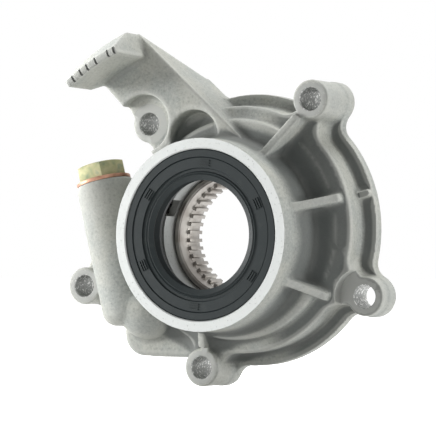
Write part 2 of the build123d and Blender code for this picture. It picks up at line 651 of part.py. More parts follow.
def relief_plug():
    seat = TUBE_TOP + WASHER_THICKNESS
    head = extrude(Plane(origin=(*valve_seat(seat),), x_dir=valve_plane.x_dir, z_dir=valve_axis.direction)
                   * RegularPolygon(PLUG_HEX / 2, 6, major_radius=False), PLUG_HEX_HEIGHT)
    corner = PLUG_HEX / 2 / cos(radians(30)) + 0.5
    top = seat + PLUG_HEX_HEIGHT
    bevel = valve_turned([(0, seat), (corner, seat), (corner, top - 0.9), (PLUG_HEX / 2 - 0.4, top), (0, top)])
    thread = valve_turned([(PLUG_CAVITY_RADIUS, plug_bottom), (THREAD_RADIUS - 0.6, plug_bottom),
                           (THREAD_RADIUS, plug_bottom + 0.6), (THREAD_RADIUS, seat + 0.5),
                           (0, seat + 0.5), (0, spring_high), (PLUG_CAVITY_RADIUS, spring_high)])
    return (head & bevel) + thread


def valve_seat(along):
    x, z = valve_point(along)
    return (x, -VALVE_HEIGHT, z)


# ---- crank oil seal
case_outer = SEAL_BORE_RADIUS - SEAL_OUTER_RUBBER
case_front = seal_front - 2.3


def seal_case():
    inner = case_outer - SEAL_CASE_WALL
    back = seal_back + 0.4
    return turned([(SEAL_CASE_INNER, case_front), (case_outer, case_front), (case_outer, back),
                   (inner, back), (inner, case_front - SEAL_CASE_WALL),
                   (SEAL_CASE_INNER, case_front - SEAL_CASE_WALL)])


def seal_rubber():
    f = seal_front
    outline = [
        (SEAL_BORE_RADIUS, seal_back + 0.6), (SEAL_BORE_RADIUS, f - 0.5), (SEAL_BORE_RADIUS - 0.5, f),
        (30.9, f), (30.7, f - 0.5), (30.4, f - 0.3), (26.5, f - 0.3), (26.2, f - 1.0), (25.2, f - 1.0),
        (24.7, f - 0.5), (24.2, f - 0.9), (23.7, f - 0.6), (DUST_LIP_RADIUS, f - 1.5),
        (DUST_LIP_RADIUS + 0.2, f - 2.0), (24.3, f - 3.0), (25.0, f - 4.2), (23.5, f - 5.2),
        (SEAL_LIP_RADIUS, f - 6.8), (SEAL_LIP_RADIUS + 0.8, f - 9.8), (GARTER_RADIUS - 0.6, f - 9.8),
        (GARTER_RADIUS - 0.6, f - 8.0), (GARTER_RADIUS, f - 8.0), (GARTER_RADIUS, f - 6.0),
        (GARTER_RADIUS + 0.9, f - 5.6), (SEAL_CASE_INNER, f - 3.4), (SEAL_CASE_INNER, case_front),
        (case_outer, case_front), (case_outer, seal_back),
        (SEAL_BORE_RADIUS - 0.6, seal_back),
    ]
    groove = turned([(GARTER_RADIUS - 2, f - 9), (GARTER_RADIUS + 2, f - 9), (GARTER_RADIUS + 2, f - 5),
                     (GARTER_RADIUS - 2, f - 5)])
    garter = Solid.make_torus(GARTER_RADIUS, GARTER_WIRE_RADIUS, garter_plane())
    return turned(outline) - (groove & garter)


def garter_plane():
    return Plane(origin=(0, 7.0 - seal_front, 0), z_dir=(0, -1, 0))


def seal_garter_spring():
    return Part() + Solid.make_torus(GARTER_RADIUS, GARTER_WIRE_RADIUS, garter_plane())


NODES = {
    "pump_body": pump_body,
    "rear_cover": rear_cover,
    "cover_screws": cover_screws,
    "drive_gear": drive_gear,
    "driven_gear": driven_gear,
    "seal_rubber": seal_rubber,
    "seal_case": seal_case,
    "seal_garter_spring": seal_garter_spring,
    "relief_piston": relief_piston,
    "relief_spring": relief_spring,
    "relief_plug": relief_plug,
    "plug_gasket": plug_gasket,
}

os.makedirs("parts", exist_ok=True)
for name, make in NODES.items():
    export_step(make(), f"parts/{name}.step")
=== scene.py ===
# %% [markdown]
# # A crank-driven oil pump
# The pump is a ribbed aluminium casting with a rubber crank seal, a splined steel gear behind it,
# a relief valve closed by a plated plug, and a pointer arm with a notched scale.
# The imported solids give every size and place. This file gives the pieces their cast, turned,
# ground, plated and moulded surfaces. Lengths are in millimetres until a mesh is made.

import json
import math

import bmesh
import bpy
import numpy as np
import openvdb
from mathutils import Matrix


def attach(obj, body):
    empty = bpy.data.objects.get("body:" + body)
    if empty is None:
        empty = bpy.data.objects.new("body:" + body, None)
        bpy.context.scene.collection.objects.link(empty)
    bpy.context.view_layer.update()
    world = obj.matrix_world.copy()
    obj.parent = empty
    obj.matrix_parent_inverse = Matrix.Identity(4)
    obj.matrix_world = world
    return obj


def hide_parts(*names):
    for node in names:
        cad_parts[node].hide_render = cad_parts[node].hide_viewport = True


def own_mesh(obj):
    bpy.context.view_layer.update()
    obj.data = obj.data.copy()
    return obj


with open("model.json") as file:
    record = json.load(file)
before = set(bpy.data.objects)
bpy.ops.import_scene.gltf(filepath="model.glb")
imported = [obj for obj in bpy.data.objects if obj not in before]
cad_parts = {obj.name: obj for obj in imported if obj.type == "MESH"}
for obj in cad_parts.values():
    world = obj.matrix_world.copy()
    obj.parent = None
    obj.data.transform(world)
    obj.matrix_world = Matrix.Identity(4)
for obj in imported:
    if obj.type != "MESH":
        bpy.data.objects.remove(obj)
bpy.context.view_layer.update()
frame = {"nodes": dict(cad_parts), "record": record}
cad_nodes = frame["nodes"]
groups = frame["record"]["behaviour"]["bodies"]
body_of_node = {node: body for body, members in groups.items() for node in members}
MM = 0.001
print("nodes:", ", ".join(sorted(cad_nodes)))

# %% [markdown]
# ## Sizes that the pieces share
# A height is a distance forward from the mounting face, along -Y. The nose, the seal and the
# drive gear are round about the crank. The drum and the ring gear are round about a centre that
# lies 5 mm away from it, up and to the right.

# %% Shared sizes
GEAR_OFFSET, GEAR_OFFSET_ANGLE = 5.0, math.radians(29.8)
DRUM_X = GEAR_OFFSET * math.cos(GEAR_OFFSET_ANGLE)
DRUM_Z = GEAR_OFFSET * math.sin(GEAR_OFFSET_ANGLE)
NOSE_HEIGHT, SEAL_BORE, DRAIN_BORE, HUB_BORE = 42.0, 34.0, 30.0, 25.88
SEAL_STEP, DRAIN_STEP = 30.5, 25.0
POCKET_RADIUS, POCKET_FLOOR = 44.08, 14.0
COVER_FRONT, COVER_RADIUS, EAR_RADIUS = 3.9, 47.58, 4.4
SCREW_CIRCLE, SCREW_HOLE, SCREW_DEPTH = 48.08, 2.0, 12.9
SCREW_ANGLES = (61, 127, 188, 248, 342)
LUGS = {"top_right": (39.9, 53.3, 23.4), "top_left": (-35.9, 46.2, 20.0), "left": (-67.7, -20.6, 20.0),
        "bottom": (-11.2, -53.4, 20.0), "right": (57.8, -24.3, 11.5)}
BOLT_HOLE, LUG_RADIUS = 4.5, 7.75
OUTLET_X, OUTLET_Z, OUTLET_RADIUS, OUTLET_DEPTH = -36.2, -34.2, 5.0, 18.0
VALVE_X, VALVE_HEIGHT, VALVE_LEAN = -53.5, 18.0, math.radians(14.2)
TUBE_TOP = 23.0                  # along the valve's axis, from the crank's level
SCALE_X, SCALE_Z = -6.0, -3.6    # centre of the scale's arc
SCALE_RADIUS, SCALE_WIDTH, SCALE_FRONT, SCALE_LAND = 82.0, 2.8, 47.5, 2.0
SCALE_START, SCALE_END = 110.5, 129.0
print("drum's centre, mm:", round(DRUM_X, 2), round(DRUM_Z, 2))


# %% [markdown]
# ## Camera, floor and light
# The camera stands 0.8 m from the nose ring, turned 30 degrees to its right and a little below
# the crank. A long lens keeps far and near parts in proportion. An even light from all round
# would show every face alike, so most of it comes from soft boxes at the left and behind: walls
# that face left shine and the hollows round the nose stay dark. The world is white where the
# camera or a mirror looks at it and dim elsewhere, so the background costs no contrast.

# %% Camera
CAMERA_PLACE = (0.39753, -0.73613, -0.01215)
CAMERA_TURN, CAMERA_TILT = math.radians(29.243), math.radians(91.497)
LENS_MM = 167.74
SENSOR_MM, CLIP_END = 36.0, 50.0

camera_data = bpy.data.cameras.new("catalogue_camera")
camera_data.lens = LENS_MM
camera_data.sensor_width = SENSOR_MM
camera_data.clip_end = CLIP_END
camera = bpy.data.objects.new("catalogue_camera", camera_data)
camera.location = CAMERA_PLACE
camera.rotation_euler = (CAMERA_TILT, 0.0, CAMERA_TURN)
bpy.context.scene.collection.objects.link(camera)
bpy.context.scene.camera = camera
bpy.context.scene.view_settings.view_transform = "Standard"
print("camera to crank, m:", round(math.hypot(*CAMERA_PLACE), 3))


# %% Soft boxes
AIM = (0.0, -0.02, 0.0)
SOFT_BOXES = {"left_box": ((-1.0, -0.52, 0.06), 0.4, 13.5), "left_rear_box": ((-0.95, 0.20, 0.40), 0.5, 7.0),
              "overhead_box": ((0.1, 0.12, 1.0), 0.5, 7.5), "right_box": ((1.0, 0.30, 0.1), 0.3, 4.6)}


def soft_box(name, place, width, watts):
    """Square area lamp, turned about X and then Z so that it looks from its place towards AIM."""
    data = bpy.data.lights.new(name, "AREA")
    data.size = width
    data.energy = watts
    lamp = bpy.data.objects.new(name, data)
    away = np.array(place, float) - np.array(AIM, float)
    flat = math.hypot(away[0], away[1])
    lamp.location = place
    lamp.rotation_euler = (math.atan2(flat, away[2]), 0.0, math.atan2(away[0], -away[1]))
    bpy.context.scene.collection.objects.link(lamp)


for name, box in SOFT_BOXES.items():
    soft_box(name, *box)
print("soft boxes:", ", ".join(SOFT_BOXES))


# %% [markdown]
# ## Shader maths as Python
# Nodes could be placed and linked one by one, but a formula is easier to read as a formula. A
# `Wire` is the output of one shader node. Sums and products of wires are written with the usual
# signs, and each sign adds one Math node. A `Finish` holds one material and adds any other node
# by its type, its settings and the values or wires of its sockets.

# %% Wires
class Wire:
    """Output of a node, on which arithmetic adds Math nodes to the same tree."""

    def __init__(self, finish, socket):
        self.finish = finish
        self.socket = socket

    def maths(self, operation, first, second):
        """One Math node on two values or wires."""
        return self.finish.node("Math", {"operation": operation}, {0: first, 1: second})

    def __add__(self, other):
        return self.maths("ADD", self, other)

    def __sub__(self, other):
        return self.maths("SUBTRACT", self, other)

    def __rsub__(self, other):
        return self.maths("SUBTRACT", other, self)

    def __mul__(self, other):
        return self.maths("MULTIPLY", self, other)

    def __pow__(self, other):
        return self.maths("POWER", self, other)

    def __neg__(self):
        return self.maths("MULTIPLY", self, -1.0)

    __radd__ = __add__
    __rmul__ = __mul__


# %% Finishes
class Finish:
    """One material, or the world, built node by node."""

    def __init__(self, name, tree=None):
        self.material = None
        if tree is None:
            self.material = bpy.data.materials.new(name)
            self.material.use_nodes = True
            tree = self.material.node_tree
        tree.nodes.clear()
        self.tree = tree

    def node(self, kind, settings=None, inputs=None, out=0):
        """Node of a type, with its settings made first, then its sockets; returns one of its outputs."""
        made = self.tree.nodes.new("ShaderNode" + kind)
        for key, value in (settings or {}).items():
            if key == "stops":
                self.set_stops(made.color_ramp, value)
            else:
                setattr(made, key, value)
        for key, value in (inputs or {}).items():
            socket = made.inputs[key]
            if isinstance(value, Wire):
                self.tree.links.new(value.socket, socket)
            else:
                socket.default_value = value
        return Wire(self, made.outputs[out]) if made.outputs else None

    @staticmethod
    def set_stops(ramp, stops):
        """Colour stops of a ramp, as (place, colour) pairs."""
        while len(ramp.elements) < len(stops):
            ramp.elements.new(1.0)
        for element, (place, shade) in zip(ramp.elements, stops):
            element.position = place
            element.color = (*shade, 1.0)

    def place(self):
        """Object coordinates, in metres from the crank's axis at the mounting face."""
        return self.node("TexCoord", out="Object")

    def noise(self, size_mm, detail=2.0, roughness=0.5):
        """Cloudy noise with lumps of about the given size."""
        return self.node("TexNoise", {}, {"Vector": self.place(), "Scale": 1.0 / (size_mm * MM),
                                          "Detail": detail, "Roughness": roughness})

    def band(self, value, low, high):
        """0 below low, 1 above high and smooth between them."""
        return self.node("MapRange", {"interpolation_type": "SMOOTHSTEP"},
                         {"Value": value, "From Min": low, "From Max": high})

    def ramp(self, value, stops):
        """Colour that runs through the stops as the value goes from 0 to 1."""
        return self.node("ValToRGB", {"stops": stops}, {0: value})

    def blend(self, factor, first, second):
        """Colour that goes from the first to the second as the factor goes from 0 to 1."""
        pair = {"Factor": factor, 6: self.paint(first), 7: self.paint(second)}
        return self.node("Mix", {"data_type": "RGBA"}, pair, out=2)

    @staticmethod
    def paint(colour):
        """A wire as it is, or a colour with its alpha."""
        return colour if isinstance(colour, Wire) else (*colour, 1.0)

    def bump(self, height, depth_mm, strength):
        """Normal tilted as if the surface rose by the height times the depth."""
        return self.node("Bump", {}, {"Height": height, "Distance": depth_mm * MM, "Strength": strength})

    def part(self, vector, axis):
        """The X, Y or Z part of a vector."""
        return self.node("SeparateXYZ", {}, {0: vector}, out=axis)

    def radius(self):
        """Distance from the crank's axis, in metres."""
        across, up = self.part(self.place(), "X"), self.part(self.place(), "Z")
        return (across * across + up * up) ** 0.5

    def principled(self, colour, roughness, metallic, normal, **uniform):
        """Closes the material. A uniform value's name is its socket's, with underscores for spaces."""
        sockets = {"Base Color": self.paint(colour), "Roughness": roughness, "Metallic": metallic,
                   "Normal": normal}
        for key, value in uniform.items():
            sockets[key.replace("_", " ")] = value
        shader = self.node("BsdfPrincipled", {}, sockets)
        self.node("OutputMaterial", {}, {"Surface": shader})
        return self.material


# %% World
WHITE, DIM = 1.0, 0.19           # strength of the world as seen directly, and as soft light

world = bpy.data.worlds.new("studio")
world.use_nodes = True
bpy.context.scene.world = world
studio = Finish("studio", world.node_tree)


def seen_directly(finish):
    """1 for camera, mirror and glass rays, 0 for the rays that carry soft light."""
    rays = ("Is Camera Ray", "Is Glossy Ray", "Is Transmission Ray")
    seen = [finish.node("LightPath", out=ray) for ray in rays]
    both = seen[0].maths("MAXIMUM", seen[0], seen[1])
    return both.maths("MAXIMUM", both, seen[2])


strength = seen_directly(studio) * (WHITE - DIM) + DIM
background = studio.node("Background", {}, {"Color": (1, 1, 1, 1), "Strength": strength})
studio.node("OutputWorld", {}, {"Surface": background})
print("world nodes:", len(world.node_tree.nodes))

# %% Floor
FLOOR_LEVEL, FLOOR_REACH = -0.0645, 6.0
FLOOR_TONE, FLOOR_GLOW = 0.72, 0.93

corners = np.array([(-1, -1), (1, -1), (1, 1), (-1, 1)], float) * FLOOR_REACH
floor_mesh = bpy.data.meshes.new("studio_floor")
floor_mesh.from_pydata([(x, y, FLOOR_LEVEL) for x, y in corners], [], [(0, 1, 2, 3)])
floor = bpy.data.objects.new("studio_floor", floor_mesh)
bpy.context.scene.collection.objects.link(floor)

paper = Finish("studio_paper")
matte = paper.node("BsdfDiffuse", {}, {"Color": (FLOOR_TONE, FLOOR_TONE, FLOOR_TONE, 1)})
glow = paper.node("Emission", {}, {"Color": (1, 1, 1, 1), "Strength": seen_directly(paper) * FLOOR_GLOW})
lit = paper.node("AddShader", {}, {0: matte, 1: glow})
paper.node("OutputMaterial", {}, {"Surface": lit})
floor_mesh.materials.append(paper.material)


# %% [markdown]
# ## Finishes of the metals and of the rubber
# Sand-cast aluminium is a warm grey with a fine grain and faint blotches. Its edges are rubbed
# a little brighter, its hollow corners and the sheltered walls of its drum get painted shade, and
# the body's mesh carries two attributes for these. The low faces at the drum's right get a painted
# shadow of the nose. Turned faces show rings about the crank, drilled holes get painted glints
# where the drill tore the metal, and narrow cuts are painted dark as shade. Ground, plated and
# annealed parts each get their own colour variation, roughness and fine relief. All patterns are
# noise on Object coordinates, so they need no unwrapping and run on over a piece's edges as they do in the
# metal.

# %% Cast aluminium
DRUM_REACH, DRUM_FADE = 50.5, 2.0                    # sheltered walls get painted shade up to this radius
NOSE_SHADOW_FROM, NOSE_SHADOW_FULL, NOSE_SHADOW_TOP, NOSE_SHADOW_FADE = 14.0, 28.0, 23.0, 2.0   # painted shadow of the nose: across in X, and up to this height
# Shares of the painted shade in the drum, the painted nose shadow, and the wear with painted corner shade.
SHADE_SHARE, NOSE_SHADOW_SHARE, WEAR_AND_SHADE_SHARE = 0.86, 0.88, 0.4


def cast_aluminium():
    """Grain over blotches, then painted shade in the drum, the nose's painted shadow, painted shade in hollow
    corners and rubbed edges, each blended over the last.
    """
    finish = Finish("cast_aluminium")
    grain = finish.noise(1.1, 4.0, 0.7)
    lumps = finish.noise(2.6, 2.0)
    blotches = finish.noise(16.0, 3.0, 0.55)
    edge = finish.node("Attribute", {"attribute_name": "edge_wear"}, out="Fac")
    shelter = finish.node("Attribute", {"attribute_name": "shelter"}, out="Fac")
    warm, cool = (0.462, 0.470, 0.425), (0.385, 0.405, 0.382)
    light_grain, dark_grain = (0.60, 0.605, 0.56), (0.23, 0.24, 0.225)
    # Darker pair, both painted: shade for the drum's sheltered walls, then the nose's shadow at its right.
    shade, painted_nose_shadow = (0.125, 0.135, 0.13), (0.115, 0.125, 0.12)
    # Dark one painted as shade in hollow corners; light one for rubbed edges.
    painted_corner_shade, rubbed = (0.15, 0.155, 0.145), (0.62, 0.625, 0.585)
    colour = finish.blend(finish.band(blotches, 0.35, 0.65), warm, cool)
    colour = finish.blend(finish.band(grain, 0.46, 0.70) * 0.5, colour, light_grain)
    colour = finish.blend(finish.band(-grain, -0.46, -0.34) * 0.5, colour, dark_grain)
    inside_drum = 1 - finish.band(finish.radius(), DRUM_REACH * MM, (DRUM_REACH + DRUM_FADE) * MM)
    # Painted shade on the drum's sheltered walls, where much metal stands round.
    colour = finish.blend(finish.band(shelter, 0.44, 0.53) * inside_drum * SHADE_SHARE, colour, shade)
    # Painted shadow of the nose on the front-facing low faces at its right.
    facing_front = finish.band(-finish.part(finish.node("NewGeometry", out="Normal"), "Y"), 0.5, 0.9)
    right_side = finish.band(finish.part(finish.place(), "X"), NOSE_SHADOW_FROM * MM, NOSE_SHADOW_FULL * MM)
    low = finish.band(finish.part(finish.place(), "Y"), -NOSE_SHADOW_TOP * MM, (NOSE_SHADOW_FADE - NOSE_SHADOW_TOP) * MM)
    colour = finish.blend(facing_front * right_side * low * NOSE_SHADOW_SHARE, colour, painted_nose_shadow)
    # Painted shade in hollow corners, where the edge field is below zero.
    colour = finish.blend(finish.band(-edge, 0.02, 0.30) * WEAR_AND_SHADE_SHARE, colour, painted_corner_shade)
    colour = finish.blend(finish.band(edge, 0.06, 0.28) * WEAR_AND_SHADE_SHARE, colour, rubbed)
    roughness = 0.52 + 0.12 * grain
    normal = finish.bump(grain + lumps * 0.6, 0.22, 0.8)
    return finish.principled(colour, roughness, 0.04, normal, Specular_IOR_Level=0.3)


# %% Machined aluminium
TOOL_FEED = 0.28                 # the lathe tool's step per turn


def turned_aluminium():
    """Bright metal with a few pits; its rings are a sine of the radius over the tool's feed."""
    finish = Finish("turned_aluminium")
    turns = finish.radius() * (2 * math.pi / (TOOL_FEED * MM))
    rings = finish.node("Math", {"operation": "SINE"}, {0: turns})
    pits = finish.noise(1.1, 4.0, 0.7)
    colour = finish.blend(finish.band(pits, 0.60, 0.68) * 0.6, (0.47, 0.485, 0.475), (0.16, 0.16, 0.155))
    roughness = 0.50 + 0.10 * finish.noise(5.0)
    normal = finish.bump(rings * 0.35 + pits, 0.03, 0.45)
    return finish.principled(colour, roughness, 0.7, normal)


def milled_aluminium():
    """Dull, evenly scuffed face."""
    finish = Finish("milled_aluminium")
    grain = finish.noise(0.5, 4.0, 0.7)
    clouds = finish.noise(6.0)
    colour = finish.blend(clouds, (0.36, 0.37, 0.35), (0.44, 0.445, 0.42))
    normal = finish.bump(grain, 0.08, 0.5)
    return finish.principled(colour, 0.46 + 0.15 * grain, 0.15, normal)


def drilled_aluminium():
    """Torn wall of a drilled hole, with painted glints."""
    finish = Finish("drilled_aluminium")
    tears = finish.noise(1.6, 3.0, 0.7)
    # Near-white spots in the base colour are painted glints.
    painted_glints = finish.band(finish.noise(1.0, 2.0, 0.6), 0.54, 0.62)
    colour = finish.blend(painted_glints, (0.36, 0.37, 0.355), (0.95, 0.95, 0.93))
    normal = finish.bump(tears, 0.35, 0.9)
    return finish.principled(colour, 0.30 + 0.2 * tears, 0.45, normal)


def painted_shade_aluminium():
    """Dark colour painted as shade in narrow cuts."""
    finish = Finish("painted_shade_aluminium")
    grain = finish.noise(0.5, 3.0, 0.6)
    # Painted shade: dark grey for the inside of the notches.
    colour = finish.blend(grain, (0.19, 0.195, 0.185), (0.32, 0.325, 0.31))
    return finish.principled(colour, 0.6 + 0.1 * grain, 0.0, finish.bump(grain, 0.05, 0.5))


# %% Steels, plating, copper and rubber
def steel(name, light, dark, roughness, metallic=1.0, mark_mm=0.5):
    """Steel with cloudy tone and fine tool marks of the given size."""
    finish = Finish(name)
    clouds = finish.noise(7.0, 3.0)
    marks = finish.noise(mark_mm, 4.0, 0.65)
    colour = finish.blend(finish.band(clouds, 0.3, 0.7), light, dark)
    normal = finish.bump(marks, 0.03, 0.4)
    return finish.principled(colour, roughness + 0.14 * marks, metallic, normal)


def yellow_zinc():
    """Passivated plating that drifts from olive through straw to green."""
    finish = Finish("yellow_zinc")
    clouds = finish.noise(4.5, 2.0, 0.55)
    colour = finish.ramp(clouds, [(0.30, (0.22, 0.26, 0.16)), (0.47, (0.36, 0.36, 0.20)),
                                  (0.60, (0.43, 0.40, 0.24)), (0.72, (0.27, 0.31, 0.21))])
    grain = finish.noise(0.5, 3.0)
    return finish.principled(colour, 0.36 + 0.18 * grain, 0.55, finish.bump(grain, 0.02, 0.4))


def annealed_copper():
    """Copper with darker clouds of tarnish."""
    finish = Finish("annealed_copper")
    clouds = finish.noise(3.0, 3.0)
    colour = finish.blend(finish.band(clouds, 0.35, 0.7), (0.48, 0.27, 0.19), (0.33, 0.18, 0.12))
    return finish.principled(colour, 0.36 + 0.2 * clouds, 0.9, finish.bump(finish.noise(0.6), 0.03, 0.4))


def seal_rubber_finish():
    """Near-black rubber with a bloom of dust."""
    finish = Finish("moulded_rubber")
    grain = finish.noise(0.6, 3.0, 0.6)
    dust = finish.noise(5.0, 4.0, 0.6)
    colour = finish.blend(finish.band(dust, 0.5, 0.8) * 0.5, (0.012, 0.018, 0.019), (0.034, 0.042, 0.041))
    return finish.principled(colour, 0.42 + 0.2 * grain, 0.0, finish.bump(grain, 0.04, 0.4),
                             Specular_IOR_Level=0.3)


CAST, TURNED, MILLED = cast_aluminium(), turned_aluminium(), milled_aluminium()
# Drilled walls carry painted glints; the last finish is dark colour painted as shade in the notches.
DRILLED, PAINTED_SHADE = drilled_aluminium(), painted_shade_aluminium()
GEAR_STEEL = steel("gear_steel", (0.34, 0.325, 0.30), (0.24, 0.22, 0.20), 0.30)
SINTERED = steel("sintered_iron", (0.40, 0.39, 0.38), (0.30, 0.295, 0.29), 0.42, metallic=0.9, mark_mm=0.9)
GROUND = steel("ground_steel", (0.34, 0.34, 0.35), (0.28, 0.28, 0.29), 0.40, mark_mm=0.4)
BLACK_OXIDE = steel("black_oxide", (0.09, 0.09, 0.10), (0.05, 0.05, 0.055), 0.38, metallic=0.8)
SPRING_STEEL = steel("spring_steel", (0.42, 0.42, 0.44), (0.30, 0.30, 0.32), 0.32)
ZINC, COPPER, RUBBER = yellow_zinc(), annealed_copper(), seal_rubber_finish()
print("finishes:", len(bpy.data.materials))


# %% [markdown]
# ## Meshes from whole arrays
# Blender's ready-made cylinders have one radius each, while a real bore has steps and bevels. So a
# turned piece is a grid of points: row i is a point of the profile, column j is a turn angle.
# A prism is one outline at two heights. Both are closed, so they can cut or join other solids.
# Each takes a finish index, which tells what kind of surface it leaves on the casting it cuts.

# %% Turned pieces and prisms
# The last index gives the notches' painted shade.
AS_TURNED, AS_MILLED, AS_DRILLED, AS_PAINTED_SHADE = 1, 2, 3, 4
OVERCUT = 1.0                    # how far a cutter starts or ends outside the metal
SEAM_GAP, COPY_GAP = 1e-7, 2e-6  # metres, within which points are made one


def shell(name, points, faces, finish_index=0):
    """Mesh object from points in millimetres, with its faces turned outwards."""
    mesh = bpy.data.meshes.new(name)
    mesh.from_pydata((np.asarray(points) * MM).tolist(), [], faces)
    work = bmesh.new()
    work.from_mesh(mesh)
    bmesh.ops.remove_doubles(work, verts=work.verts, dist=SEAM_GAP)
    bmesh.ops.recalc_face_normals(work, faces=work.faces)
    work.to_mesh(mesh)
    work.free()
    mesh.polygons.foreach_set("material_index", np.full(len(mesh.polygons), finish_index, np.int32))
    made = bpy.data.objects.new(name, mesh)
    bpy.context.scene.collection.objects.link(made)
    return made


def grid_faces(rows, columns):
    """Four-sided faces of a grid whose last column joins its first; point (i, j) is i * columns + j."""
    i, j = np.meshgrid(np.arange(rows - 1), np.arange(columns), indexing="ij")
    here, ahead, beside = i * columns, (i + 1) * columns, (j + 1) % columns
    return np.stack([here + j, ahead + j, ahead + beside, here + beside], -1).reshape(-1, 4).tolist()


def turned_points(profile, x, z, segments):
    """Point (i, j) lies at radius r_i and height h_i, turned by 2 pi j / segments about the line x, z."""
    radius, height = np.array(profile, float).T
    turn = 2 * np.pi * np.arange(segments) / segments
    across = x + radius[:, None] * np.cos(turn)
    up = z + radius[:, None] * np.sin(turn)
    along = np.broadcast_to(-height[:, None], across.shape)
    return np.stack([across, along, up], -1).reshape(-1, 3)


def turned_piece(name, profile, x=0.0, z=0.0, segments=192, finish_index=AS_TURNED):
    """Solid of revolution from (radius, height) points that start and end on its axis."""
    points = turned_points(profile, x, z, segments)
    return shell(name, points, grid_faces(len(profile), segments), finish_index)


def block_profile(radius, low, high):
    """Cylinder's profile between two heights."""
    return [(0, low), (radius, low), (radius, high), (0, high)]


def opened_profile(radius, low, high, bevel):
    """Cylinder's profile that widens by a bevel at the high end and goes on past it."""
    return [(0, low), (radius, low), (radius, high - bevel), (radius + bevel, high),
            (radius + bevel, high + OVERCUT), (0, high + OVERCUT)]


def prism(name, outline, low, high, finish_index=AS_TURNED):
    """The outline's (x, z) points at two heights, with side walls and two caps."""
    flat = np.asarray(outline, float)
    count = len(flat)
    levels = [np.column_stack([flat[:, 0], np.full(count, -h), flat[:, 1]]) for h in (low, high)]
    faces = grid_faces(2, count) + [list(range(count)), list(range(2 * count - 1, count - 1, -1))]
    return shell(name, np.concatenate(levels), faces, finish_index)


def arc(radius, start, end, x=0.0, z=0.0, steps=48):
    """Points of an arc, in degrees from +X towards +Z."""
    turn = np.radians(np.linspace(start, end, steps))
    return np.column_stack([x + radius * np.cos(turn), z + radius * np.sin(turn)])


def carve(target, tool, operation="DIFFERENCE"):
    """Takes one closed mesh away from another, or joins it, and deletes the tool."""
    change = target.modifiers.new("carve", "BOOLEAN")
    change.object = tool
    change.operation = operation
    change.solver = "MANIFOLD"
    bpy.context.view_layer.update()
    view = bpy.context.evaluated_depsgraph_get()
    result = bpy.data.meshes.new_from_object(target.evaluated_get(view))
    target.modifiers.clear()
    old = target.data
    target.data = result
    bpy.data.meshes.remove(old)
    bpy.data.objects.remove(tool)


# %% [markdown]
# ## The casting
# A real pump body is cast first and machined afterwards, and it is made here in the same order.
# A Bevel modifier would break down where ribs, bosses and webs run into each other, so the packed
# body becomes a distance field: each cell of a grid holds its distance to the surface, below zero
# inside. Its bores are filled. Blurring the field rounds the outer edges, and the lower of a light
# and a strong blur also fills the hollow corners, as sand moulds do. The field turns back into a
# mesh, and then crisp cutters machine the bores, seats and faces.

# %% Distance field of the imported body
CELL = 0.5                       # grid spacing in mm
BAND = 8                         # cells on each side of the surface that hold true distances


def node_soup(node):
    """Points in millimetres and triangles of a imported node, with equal points made one."""
    mesh = cad_nodes[node].data
    mesh.calc_loop_triangles()
    points = np.zeros(len(mesh.vertices) * 3, np.float32)
    corners = np.zeros(len(mesh.loop_triangles) * 3, np.int32)
    mesh.vertices.foreach_get("co", points)
    mesh.loop_triangles.foreach_get("vertices", corners)
    keys = np.round(points.reshape(-1, 3) / (MM * MM)).astype(np.int64)
    unique, place = np.unique(keys, axis=0, return_inverse=True)
    triangles = place.reshape(-1)[corners].reshape(-1, 3)
    sound = (triangles != np.roll(triangles, 1, axis=1)).all(1)
    return unique * MM, triangles[sound].astype(np.uint32)


body_points, body_triangles = node_soup("pump_body")
level_set = openvdb.FloatGrid.createLevelSetFromPolygons(
    points=body_points, triangles=body_triangles, transform=openvdb.createLinearTransform(voxelSize=CELL),
    halfWidth=BAND)
first_cell = np.array(level_set.evalActiveVoxelBoundingBox()[0])
last_cell = np.array(level_set.evalActiveVoxelBoundingBox()[1])
field = np.zeros(tuple(last_cell - first_cell + 1), np.float32)
level_set.copyToArray(field, ijk=tuple(int(v) for v in first_cell))
ticks = [(first_cell[k] + np.arange(field.shape[k])) * CELL for k in range(3)]
grid_x, grid_y, grid_z = np.meshgrid(*ticks, indexing="ij", sparse=True)
print("field cells:", field.shape)


# %% Fields of simple solids
def cylinder_field(radius, low, high, x=0.0, z=0.0):
    """Larger of the distances to a cylinder's wall and to its ends, between two heights."""
    across = np.sqrt((grid_x - x) ** 2 + (grid_z - z) ** 2) - radius
    along = np.abs(grid_y + (low + high) / 2) - (high - low) / 2
    return np.maximum(across, along)


def valve_along(point_x, point_z):
    """Distance along the valve axis, from the crank's level towards the plug."""
    return -(point_x - VALVE_X) * math.sin(VALVE_LEAN) + point_z * math.cos(VALVE_LEAN)


def stretched(values, height, outward, column):
    """Repeats the slice at a height in all slices beyond it, inside the chosen columns."""
    index = int(round(-height / CELL)) - int(first_cell[1])
    rows = slice(0, index) if outward else slice(index + 1, values.shape[1])
    source = values[:, index:index + 1, :]
    values[:, rows, :] = np.where(column, source, values[:, rows, :])


# %% Fill the bores, stretch what will be faced
FACING_STOCK = 2.0               # extra casting that facing takes off
NOSE_SLICE, NOSE_COLUMN = NOSE_HEIGHT - 1.6, SEAL_BORE + 9
BACK_SLICE = 1.4
NOSE_FILL, NOSE_FOOT = SEAL_BORE + 2, 2.0            # each fill is wider than the bore it closes
SEAT_FILL, SEAT_SKIN = POCKET_RADIUS + 9, 0.4        # and ends short of the step beyond it
POCKET_FILL, POCKET_SKIN = POCKET_RADIUS + 3, 1.0
OUTLET_FILL, OUTLET_FILL_TOP, BOLT_FILL = OUTLET_RADIUS + 1.3, 6.0, BOLT_HOLE + 1.2
VALVE_FILL, VALVE_FILL_HALF = 10.5, 9.0

